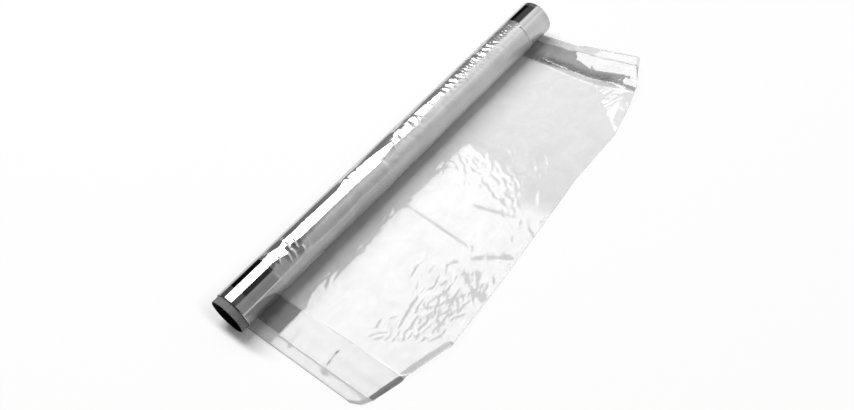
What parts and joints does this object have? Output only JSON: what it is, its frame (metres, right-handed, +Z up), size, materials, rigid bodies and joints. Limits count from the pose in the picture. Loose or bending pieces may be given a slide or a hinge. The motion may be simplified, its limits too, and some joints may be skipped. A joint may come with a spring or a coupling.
{
  "type": "cooking film roll",
  "caption": "Roll of clear cooking film on a thin core tube, with its crinkled free end pulled out and lying flat in front.",
  "frame": {"origin": "centre of the core's mouth at the near end, on the roll's axis", "axes": "+X along the roll from its near end to its far end, the film is pulled out towards -Y, +Z up"},
  "size_m": [0.305, 0.1308, 0.0265],
  "materials": {
    "film": "glossy clear film",
    "core": "matte grey card"
  },
  "bodies": {
    "root": {"core_tube": "core", "cooking_film": "film"}
  },
  "joints": []
}
